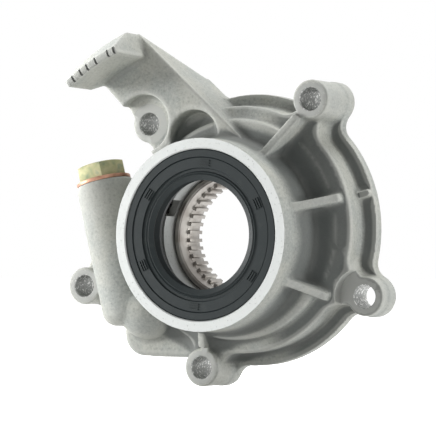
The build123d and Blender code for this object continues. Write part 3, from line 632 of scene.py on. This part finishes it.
crank_distance = np.sqrt(grid_x ** 2 + grid_z ** 2)
stretched(field, NOSE_SLICE, True, crank_distance < NOSE_COLUMN)
stretched(field, BACK_SLICE, False, crank_distance < np.inf)
fills = [cylinder_field(NOSE_FILL, NOSE_FOOT, NOSE_HEIGHT + FACING_STOCK),
         cylinder_field(SEAT_FILL, -FACING_STOCK, COVER_FRONT - SEAT_SKIN, DRUM_X, DRUM_Z),
         cylinder_field(POCKET_FILL, -FACING_STOCK, POCKET_FLOOR - POCKET_SKIN, DRUM_X, DRUM_Z),
         cylinder_field(OUTLET_FILL, -FACING_STOCK, OUTLET_FILL_TOP, OUTLET_X, OUTLET_Z)]
for x, z, seat in LUGS.values():
    fills.append(cylinder_field(BOLT_FILL, -FACING_STOCK, seat, x, z))
valve_sideways = (grid_x - VALVE_X) * math.cos(VALVE_LEAN) + grid_z * math.sin(VALVE_LEAN)
valve_across = np.sqrt(valve_sideways ** 2 + (grid_y + VALVE_HEIGHT) ** 2)
valve_ends = np.abs(valve_along(grid_x, grid_z) - TUBE_TOP + VALVE_FILL_HALF) - VALVE_FILL_HALF
fills.append(np.maximum(valve_across - VALVE_FILL, valve_ends))
print("bores filled:", len(fills))

# %% Fill the scale's land, in which the notches will be cut
scale_across = np.sqrt((grid_x - SCALE_X) ** 2 + (grid_z - SCALE_Z) ** 2) - SCALE_RADIUS - SCALE_WIDTH / 2
scale_turn = np.degrees(np.arctan2(grid_z - SCALE_Z, grid_x - SCALE_X)) - (SCALE_START + SCALE_END) / 2
scale_along = (np.abs(scale_turn) - (SCALE_END - SCALE_START) / 2) * math.radians(SCALE_RADIUS)
scale_deep = np.abs(grid_y + SCALE_FRONT - SCALE_LAND / 2) - SCALE_LAND / 2
fills.append(np.maximum(np.maximum(np.abs(scale_across) - SCALE_WIDTH / 2, scale_along), scale_deep))
for fill in fills:
    field = np.minimum(field, fill)
print("fills in all:", len(fills))


# %% [markdown]
# ## From field to casting
# A weighted sum of shifted copies blurs the field along one axis at a time. On a flat wall the
# field is a plain slope, which a blur leaves alone, so only edges and corners change.

# %% Round the edges, fill the hollow corners
EDGE_BLUR, CORNER_BLUR = 0.28, 1.3
TAIL = 2.5                       # how many spreads the weights reach out on each side


def blurred(values, spread, cell=CELL):
    """Gaussian blur with a spread in millimetres, done along each axis in turn."""
    reach = int(math.ceil(TAIL * spread / cell))
    weights = np.exp(-0.5 * (np.arange(-reach, reach + 1) * cell / spread) ** 2)
    weights /= weights.sum()
    for axis in range(3):
        padding = [(reach, reach) if k == axis else (0, 0) for k in range(3)]
        padded = np.pad(values, padding, mode="edge")
        count = values.shape[axis]
        values = sum(w * np.take(padded, np.arange(i, i + count), axis=axis) for i, w in enumerate(weights))
    return values.astype(np.float32)


soft_edges = blurred(field, EDGE_BLUR)
soft_corners = blurred(field, CORNER_BLUR)
cast_field = np.minimum(soft_edges, soft_corners)
relief_field = soft_corners - soft_edges       # above zero on edges, below zero in corners
print("deepest fillet, mm:", round(float(-relief_field.min()), 2))

# %% How much metal stands round each point
SHELTER_REACH, COARSE = 8.0, 3   # spread of the blur, and every how many cells are enough for it
solid = (field[::COARSE, ::COARSE, ::COARSE] < 0).astype(np.float32)
solid_share = blurred(solid, SHELTER_REACH, CELL * COARSE)
print("solid share near the surface, up to:", round(float(solid_share.max()), 2))


# %% Mesh of the casting
ADAPTIVITY = 0.03                # how readily flat areas get larger faces


def largest_surface(count, edges):
    """True for the points of the largest surface: low numbers spread along edges until they settle."""
    label, settled = np.arange(count), False
    while not settled:
        lowest = label.copy()
        np.minimum.at(lowest, edges[:, 0], label[edges[:, 1]])
        np.minimum.at(lowest, edges[:, 1], label[edges[:, 0]])
        lowest = lowest[lowest]
        settled = np.array_equal(lowest, label)
        label = lowest
    return label == np.bincount(label).argmax()


def field_mesh(name, values):
    """Largest closed surface on which the field is zero, without what the fills shut in."""
    grid = openvdb.FloatGrid(float(BAND * CELL))
    grid.copyFromArray(values, ijk=tuple(int(v) for v in first_cell))
    grid.transform = openvdb.createLinearTransform(voxelSize=CELL)
    points, triangles, quads = grid.convertToPolygons(isovalue=0.0, adaptivity=ADAPTIVITY)
    sides = [faces[:, [k, k - 1]] for faces in (triangles, quads) for k in range(faces.shape[1])]
    kept = largest_surface(len(points), np.concatenate(sides))
    number = np.cumsum(kept) - 1
    triangles, quads = [number[faces[kept[faces[:, 0]]]].tolist() for faces in (triangles, quads)]
    mesh = bpy.data.meshes.new(name)
    mesh.from_pydata((points[kept] * MM).tolist(), [], triangles + quads)
    work = bmesh.new()
    work.from_mesh(mesh)
    bmesh.ops.recalc_face_normals(work, faces=work.faces)
    work.to_mesh(mesh)
    work.free()
    made = bpy.data.objects.new(name, mesh)
    bpy.context.scene.collection.objects.link(made)
    return made


casting = field_mesh("body_casting", cast_field)
for finish in (CAST, TURNED, MILLED, DRILLED, PAINTED_SHADE):
    casting.data.materials.append(finish)
print("casting faces:", len(casting.data.polygons))


# %% [markdown]
# ## Machining the casting
# Each cutter is a closed turned piece or prism. Its faces carry the finish they leave behind:
# turned metal in the round bores and on the nose, milled metal on the bolt seats, in the ports
# and on the back, torn metal in the drilled bolt holes, and painted shade in the scale's notches.
# The crescent that fills the gap between the gears is the one piece that is joined and not cut.

# %% Cutters
SEAL_LEAD = 0.4                  # bevel that leads the seal in


def nose_bore():
    """Seal bore, drain chamber and hub bore in one profile about the crank."""
    mouth, end = SEAL_BORE + SEAL_LEAD, NOSE_HEIGHT + OVERCUT
    return [(0, end), (mouth, end), (mouth, NOSE_HEIGHT), (SEAL_BORE, NOSE_HEIGHT - SEAL_LEAD),
            (SEAL_BORE, SEAL_STEP), (DRAIN_BORE, SEAL_STEP), (DRAIN_BORE, DRAIN_STEP), (HUB_BORE, DRAIN_STEP),
            (HUB_BORE, -OVERCUT), (0, -OVERCUT)]


def leaning(points):
    """Points of a piece turned about the crank's axis, moved onto the valve's leaning axis."""
    across, along, up = np.asarray(points, float).T
    distance = -along
    x = VALVE_X + across * math.cos(VALVE_LEAN) - distance * math.sin(VALVE_LEAN)
    z = across * math.sin(VALVE_LEAN) + distance * math.cos(VALVE_LEAN)
    return np.column_stack([x, -VALVE_HEIGHT - up, z])


def valve_piece(name, profile, segments=96):
    """Solid of revolution about the valve's axis, from (radius, distance along) points."""
    points = leaning(turned_points(profile, 0.0, 0.0, segments))
    return shell(name, points, grid_faces(len(profile), segments), AS_TURNED)


def ring_sector(inner, outer, start, end, x, z):
    """Outline between two arcs: the outer about x, z and the inner about the crank."""
    return np.concatenate([arc(outer, start, end, x, z), arc(inner, end, start)])


# %% Faces, bores, gear pocket and cover seat
WASTE = 12.0                     # thickness of what the facing cuts reach
NOSE_FACE, BACK_FACE, BACK_FACE_Z = SEAL_BORE + 11, 120.0, 10.0
FINE, EAR_SIDES, HOLE_SIDES = 256, 48, 32

nose_face = block_profile(NOSE_FACE, NOSE_HEIGHT, NOSE_HEIGHT + WASTE)
back_face = block_profile(BACK_FACE, -WASTE, 0)
pocket = block_profile(POCKET_RADIUS, -OVERCUT, POCKET_FLOOR)
cover_seat = block_profile(COVER_RADIUS, -OVERCUT, COVER_FRONT)
cover_ear = block_profile(EAR_RADIUS, -OVERCUT, COVER_FRONT)
screw_hole = block_profile(SCREW_HOLE, 0, SCREW_DEPTH)
carve(casting, turned_piece("face_nose", nose_face))
carve(casting, turned_piece("face_back", back_face, 0, BACK_FACE_Z, finish_index=AS_MILLED))
carve(casting, turned_piece("bore_nose", nose_bore()))
carve(casting, turned_piece("gear_pocket", pocket, DRUM_X, DRUM_Z, FINE))
carve(casting, turned_piece("cover_seat", cover_seat, DRUM_X, DRUM_Z, FINE, AS_MILLED))
for angle in SCREW_ANGLES:
    x, z = arc(SCREW_CIRCLE, angle, angle, DRUM_X, DRUM_Z, 1)[0]
    carve(casting, turned_piece("cover_ear", cover_ear, x, z, EAR_SIDES, AS_MILLED))
    carve(casting, turned_piece("screw_hole", screw_hole, x, z, HOLE_SIDES))
print("pocket and cover seat cut:", len(casting.data.polygons))

# %% Ports, bolt holes, outlet
PORT_INNER, PORT_OUTER, PORT_FLOOR = 28.88, 37.6, 18.6
SUCTION, DISCHARGE = (104, 186), (224, 304)
DRAIN_SLOT, SLOT_INNER, SLOT_OUTER = (146, 162), HUB_BORE - 2, 31.0
SLOT_FLOOR, SLOT_TOP = 18.5, DRAIN_STEP + 0.1
SEAT_MARGIN, WIDE_MARGIN = 0.6, 3.0                  # of a bolt seat round its lug, wide at the right lug
SPOT_SKIM, SEAT_CLEAR, HOLE_BEVEL = 0.05, 6.0, 0.35
SEAT_SIDES, BOLT_SIDES = 96, 64

for start, end in (SUCTION, DISCHARGE):
    sector = ring_sector(PORT_INNER, PORT_OUTER, start, end, DRUM_X, DRUM_Z)
    carve(casting, prism("port", sector, POCKET_FLOOR - OVERCUT, PORT_FLOOR, AS_MILLED))
sector = ring_sector(SLOT_INNER, SLOT_OUTER, *DRAIN_SLOT, 0, 0)
carve(casting, prism("drain_slot", sector, SLOT_FLOOR, SLOT_TOP, AS_MILLED))
for name, (x, z, seat) in LUGS.items():
    reach = LUG_RADIUS + (WIDE_MARGIN if name == "right" else SEAT_MARGIN)
    bolt_seat = block_profile(reach, seat - SPOT_SKIM, seat + SEAT_CLEAR)
    bolt_hole = opened_profile(BOLT_HOLE, -OVERCUT, seat - SPOT_SKIM, HOLE_BEVEL)
    carve(casting, turned_piece("bolt_seat", bolt_seat, x, z, SEAT_SIDES, AS_MILLED))
    carve(casting, turned_piece("bolt_hole", bolt_hole, x, z, BOLT_SIDES, AS_DRILLED))
outlet = block_profile(OUTLET_RADIUS, -OVERCUT, OUTLET_DEPTH)
carve(casting, turned_piece("outlet", outlet, OUTLET_X, OUTLET_Z, BOLT_SIDES))
print("ports and bolt holes cut:", len(casting.data.polygons))

# %% Valve bore
GALLERY_RADIUS, GALLERY_END = 5.0, -32.0
PISTON_BORE, PISTON_STOP = 7.0, -28.0
THREAD_BORE, THREAD_FOOT = 9.0, 8.0
TUBE_FACE, TUBE_CLEAR = 16.0, 5.0

valve_bore = [(0, GALLERY_END), (GALLERY_RADIUS, GALLERY_END), (GALLERY_RADIUS, PISTON_STOP),
              (PISTON_BORE, PISTON_STOP), (PISTON_BORE, THREAD_FOOT), (THREAD_BORE, THREAD_FOOT),
              (THREAD_BORE, TUBE_TOP + OVERCUT), (0, TUBE_TOP + OVERCUT)]
carve(casting, valve_piece("face_tube", block_profile(TUBE_FACE, TUBE_TOP, TUBE_TOP + TUBE_CLEAR)))
carve(casting, valve_piece("bore_valve", valve_bore))
print("valve bore cut:", len(casting.data.polygons))

# %% Crescent and scale notches
DRIVE_TIP, DRIVEN_TIP, TIP_GAP = 32.1, 32.9, 0.15
CRESCENT_HALF, CRESCENT_ROOT = 66, 0.6               # half its span in degrees; how deep it is rooted
SCALE_CENTRE = np.array([SCALE_X, SCALE_Z])
NOTCH_ANGLES = (111.2, 113.3, 117.7, 120.9, 123.4, 126.4)
NOTCH_WIDTH, NOTCH_DEPTH, NOTCH_CLEAR = 0.9, 0.9, 2.0
NOTCH_INNER, NOTCH_OUTER = SCALE_RADIUS - 1.5, SCALE_RADIUS + SCALE_WIDTH + 1.6


def crescent_outline():
    """Between the drive gear's tips and the ring gear's tips, cut off square at both ends."""
    outer, inner = DRIVEN_TIP - TIP_GAP, DRIVE_TIP + TIP_GAP
    middle = math.degrees(GEAR_OFFSET_ANGLE)
    reach = math.radians(CRESCENT_HALF)
    shift = math.degrees(math.asin(GEAR_OFFSET * math.sin(reach) / inner))
    long_arc = arc(outer, middle - CRESCENT_HALF, middle + CRESCENT_HALF, DRUM_X, DRUM_Z, 96)
    short_arc = arc(inner, middle + CRESCENT_HALF - shift, middle - CRESCENT_HALF + shift, steps=96)
    return np.concatenate([long_arc, short_arc])


def notch_outline(angle):
    """Strip of the notch's width, radial to the scale's centre."""
    turn = math.radians(angle)
    outward = np.array([math.cos(turn), math.sin(turn)])
    sideways = np.array([-math.sin(turn), math.cos(turn)])
    half = NOTCH_WIDTH / 2
    corners = [(NOTCH_INNER, -half), (NOTCH_OUTER, -half), (NOTCH_OUTER, half), (NOTCH_INNER, half)]
    return [SCALE_CENTRE + outward * radius + sideways * side for radius, side in corners]


crescent = prism("crescent", crescent_outline(), COVER_FRONT, POCKET_FLOOR + CRESCENT_ROOT, AS_TURNED)
carve(casting, crescent, "UNION")
# The notches take the finish that paints them dark as shade.
for angle in NOTCH_ANGLES:
    low, high = SCALE_FRONT - NOTCH_DEPTH, SCALE_FRONT + NOTCH_CLEAR
    carve(casting, prism("notch", notch_outline(angle), low, high, AS_PAINTED_SHADE))
print("notches cut:", len(NOTCH_ANGLES))


# %% [markdown]
# ## Wear, painted shade and smooth shading of the casting
# Handling rubs the edges brighter, and the corners and hollows get painted shade. A shader could
# guess both from its Bevel or Pointiness nodes, but the fields already know: the difference of the
# two blurred ones tells an edge from a corner, and the share of metal round a point tells how deep
# in a hollow it is. Both numbers are read at every vertex and kept on the mesh for its material.

# %% Field values at points
def sampled(values, points, cell=CELL):
    """Field value at each point, blended from the eight cells round it."""
    place = points / cell - first_cell * CELL / cell
    low = np.clip(np.floor(place).astype(int), 0, np.array(values.shape) - 2)
    share = np.clip(place - low, 0, 1)
    total = np.zeros(len(points))
    for corner in np.ndindex(2, 2, 2):
        weight = np.prod(np.where(corner, share, 1 - share), axis=1)
        total += weight * values[tuple((low + corner).T)]
    return total


# %% Smooth shading and hand-over to the body
CAST_SHARP, BAR_SHARP, BEVEL_SHARP, COIL_SHARP = 38, 35, 30, 60   # degrees past which an edge is sharp


def smooth_to(piece, degrees):
    """Smooth shading that stays sharp where faces meet at more than the angle."""
    piece.data.polygons.foreach_set("use_smooth", np.ones(len(piece.data.polygons), bool))
    piece.data.set_sharp_from_angle(angle=math.radians(degrees))


def finished(piece, node, sharp):
    """The piece takes its CAD node's place and body."""
    smooth_to(piece, sharp)
    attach(piece, body_of_node[node])
    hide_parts(node)
    piece.name = node + "_dressed"
    piece.data.name = piece.name
    return piece


vertices = np.zeros(len(casting.data.vertices) * 3, np.float32)
casting.data.vertices.foreach_get("co", vertices)
places = vertices.reshape(-1, 3) / MM
for name, values in (("edge_wear", sampled(relief_field, places)),
                     ("shelter", sampled(solid_share, places, CELL * COARSE))):
    attribute = casting.data.attributes.new(name, "FLOAT", "POINT")
    attribute.data.foreach_set("value", values.astype(np.float32))
    print(name, "from", round(float(values.min()), 2), "to", round(float(values.max()), 2))
finished(casting, "pump_body", CAST_SHARP)
print("body triangles:", len(casting.data.loops) - 2 * len(casting.data.polygons))


# %% [markdown]
# ## Imported pieces with broken edges
# The gears, the cover and the small metal parts keep their imported shape, because it already
# meshes, turns and fits. A copy of each is merged, and a fine bevel breaks its edges, so that they
# catch the light.

# %% Copies and bevelled copies
def packed_copy(node, finish):
    """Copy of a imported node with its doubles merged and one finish."""
    mesh = cad_nodes[node].data.copy()
    mesh.materials.clear()
    mesh.materials.append(finish)
    mesh.polygons.foreach_set("material_index", np.zeros(len(mesh.polygons), np.int32))
    work = bmesh.new()
    work.from_mesh(mesh)
    bmesh.ops.remove_doubles(work, verts=work.verts, dist=COPY_GAP)
    work.to_mesh(mesh)
    work.free()
    piece = bpy.data.objects.new(node, mesh)
    bpy.context.scene.collection.objects.link(piece)
    return piece


def bevelled(node, finish, width_mm):
    """Packed copy with its sharp edges broken by a bevel."""
    piece = packed_copy(node, finish)
    edge = piece.modifiers.new("broken_edge", "BEVEL")
    edge.width = width_mm * MM
    edge.segments = 2
    edge.limit_method = "ANGLE"
    edge.angle_limit = math.radians(BEVEL_SHARP)
    view = bpy.context.evaluated_depsgraph_get()
    piece.data = bpy.data.meshes.new_from_object(piece.evaluated_get(view))
    piece.modifiers.clear()
    return finished(piece, node, BEVEL_SHARP)


# %% [markdown]
# ## Bars on the seal
# Moulded seals carry small raised bars on their face. A bump in the rubber's material would show
# them too, but not in the mesh. Each bar is an arc of five points, out along its outer edge and
# back along its inner one, at two heights. They ride with the housing.

# %% Bars on the seal's face
BAR_GROUPS, BARS_IN_GROUP, BAR_START, BAR_POINTS = 6, 3, 25, 5
BAR_RADIUS, BAR_STEP, BAR_THICK, BAR_REACH = 27.2, 1.0, 0.45, 4.2
BAR_LOW, BAR_HIGH = 41.1, 41.65


def seal_bars():
    """Groups of short curved bars: bar k of a group follows an arc of radius BAR_RADIUS + k * BAR_STEP."""
    points, faces = [], []
    for group in range(BAR_GROUPS):
        middle = BAR_START + 360 / BAR_GROUPS * group
        for bar in range(BARS_IN_GROUP):
            inner = BAR_RADIUS + bar * BAR_STEP
            half = math.degrees(BAR_REACH / 2 / inner)
            outline = np.concatenate([arc(inner + BAR_THICK, middle - half, middle + half, steps=BAR_POINTS),
                                      arc(inner, middle + half, middle - half, steps=BAR_POINTS)])
            count, first = len(outline), sum(len(block) for block in points)
            for height in (BAR_LOW, BAR_HIGH):
                points.append(np.column_stack([outline[:, 0], np.full(count, -height), outline[:, 1]]))
            ends = [list(range(count)), list(range(2 * count - 1, count - 1, -1))]
            faces += (np.array(grid_faces(2, count)) + first).tolist()
            faces += [[first + k for k in end] for end in ends]
    return shell("seal_bars", np.concatenate(points), faces)


bars = seal_bars()
bars.data.materials.append(RUBBER)
smooth_to(bars, BAR_SHARP)
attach(bars, "housing")
print("bars on the seal:", BAR_GROUPS * BARS_IN_GROUP)

# %% Gears, cover, screws, plug and washer
BROKEN_EDGES = {"rear_cover": (GROUND, 0.15), "cover_screws": (BLACK_OXIDE, 0.10),
                "drive_gear": (GEAR_STEEL, 0.12), "driven_gear": (SINTERED, 0.12),
                "relief_plug": (ZINC, 0.20), "plug_gasket": (COPPER, 0.15)}

for node, (finish, width) in BROKEN_EDGES.items():
    piece = bevelled(node, finish, width)
    print(node, "faces:", len(piece.data.polygons))

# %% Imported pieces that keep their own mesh
AS_PACKED = {"seal_case": GROUND, "seal_garter_spring": SPRING_STEEL, "relief_piston": GROUND,
             "seal_rubber": RUBBER}

for node, finish in AS_PACKED.items():
    cad_nodes[node].data.materials.clear()
    cad_nodes[node].data.materials.append(finish)
print("finished as packed:", ", ".join(AS_PACKED))

spring = finished(packed_copy("relief_spring", SPRING_STEEL), "relief_spring", COIL_SHARP)
coil = np.zeros(len(spring.data.vertices) * 3, np.float32)
spring.data.vertices.foreach_get("co", coil)
coil = coil.reshape(-1, 3) / MM
distance = valve_along(coil[:, 0], coil[:, 2])
fixed_end, free_length = float(distance.max()), float(distance.max() - distance.min())
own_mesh(spring)
print("relief spring, free length in mm:", round(free_length, 2))
